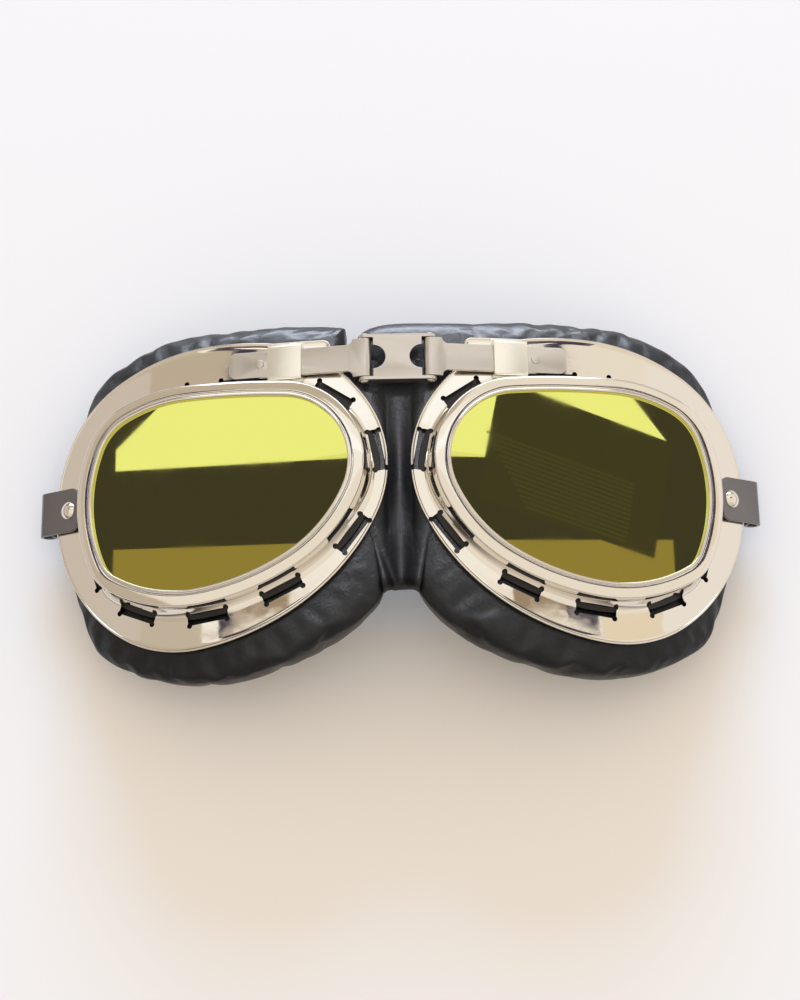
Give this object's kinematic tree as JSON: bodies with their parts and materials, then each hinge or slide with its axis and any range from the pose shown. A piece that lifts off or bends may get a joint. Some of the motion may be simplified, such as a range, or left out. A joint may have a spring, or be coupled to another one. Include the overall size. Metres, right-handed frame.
{
  "type": "riding goggles",
  "caption": "Vintage-style riding goggles: chrome eyecups with mirrored lenses on a padded black leather mask, joined by a hinged metal bridge, with strap eyes at the temples",
  "frame": {"origin": "under the middle of the part, on the surface that the two cushions rest on when the goggles lie lenses up", "axes": "+X to the wearer's left temple, +Y to the forehead, +Z out of the lenses, away from the face"},
  "size_m": [0.196, 0.095, 0.049],
  "materials": {
    "chrome": "bright chrome plate on stamped steel",
    "nickel": "satin nickel plate",
    "black_steel": "black phosphated steel",
    "mirror_lens": "yellow-green mirror coat on smoked polycarbonate",
    "black_leather": "semi-gloss black leather, fine pebble grain",
    "foam": "open-cell foam",
    "gasket_rubber": "matt black rubber"
  },
  "bodies": {
    "bridge": {"bridge_link": "nickel", "left_hinge_pin": "nickel", "right_hinge_pin": "nickel", "mask_centre": "black_leather"},
    "left_arm": {"left_bridge_arm": "nickel"},
    "left_eyecup": {"left_lens": "mirror_lens", "left_lens_gasket": "gasket_rubber", "left_lens_ring": "chrome", "left_frame": "chrome", "left_mask_clamp": "black_steel", "left_pad_cover": "black_leather", "left_pad_foam": "foam", "left_bridge_clip": "chrome", "left_strap_rivet": "nickel"},
    "left_strap_eye": {"left_strap_loop": "nickel"},
    "right_arm": {"right_bridge_arm": "nickel"},
    "right_eyecup": {"right_lens": "mirror_lens", "right_lens_gasket": "gasket_rubber", "right_lens_ring": "chrome", "right_frame": "chrome", "right_mask_clamp": "black_steel", "right_pad_cover": "black_leather", "right_pad_foam": "foam", "right_bridge_clip": "chrome", "right_strap_rivet": "nickel"},
    "right_strap_eye": {"right_strap_loop": "nickel"}
  },
  "joints": [
    {"name": "left_fold", "type": "hinge", "parent": "bridge", "child": "left_arm", "pos_m": [-0.0085, 0.0344, 0.04188], "axis": [0, -1, 0], "range_deg": [-8, 12], "deforming": ["mask_centre"]},
    {"name": "left_slide", "type": "slide", "parent": "left_arm", "child": "left_eyecup", "axis": [-0.9851, 0, -0.1718], "range_m": [-0.0014, 0.0011], "deforming": ["mask_centre"]},
    {"name": "left_strap_swing", "type": "hinge", "parent": "left_eyecup", "child": "left_strap_eye", "pos_m": [-0.08902, 0.0016, 0.01533], "axis": [-0.5236, 0, 0.8519], "range_deg": [-8, 8]},
    {"name": "right_fold", "type": "hinge", "parent": "bridge", "child": "right_arm", "pos_m": [0.0085, 0.0344, 0.04188], "axis": [0, 1, 0], "range_deg": [-8, 12], "deforming": ["mask_centre"]},
    {"name": "right_slide", "type": "slide", "parent": "right_arm", "child": "right_eyecup", "axis": [0.9851, 0, -0.1718], "range_m": [-0.0014, 0.0011], "deforming": ["mask_centre"]},
    {"name": "right_strap_swing", "type": "hinge", "parent": "right_eyecup", "child": "right_strap_eye", "pos_m": [0.08902, 0.0016, 0.01533], "axis": [0.5236, 0, 0.8519], "range_deg": [-8, 8]}
  ]
}
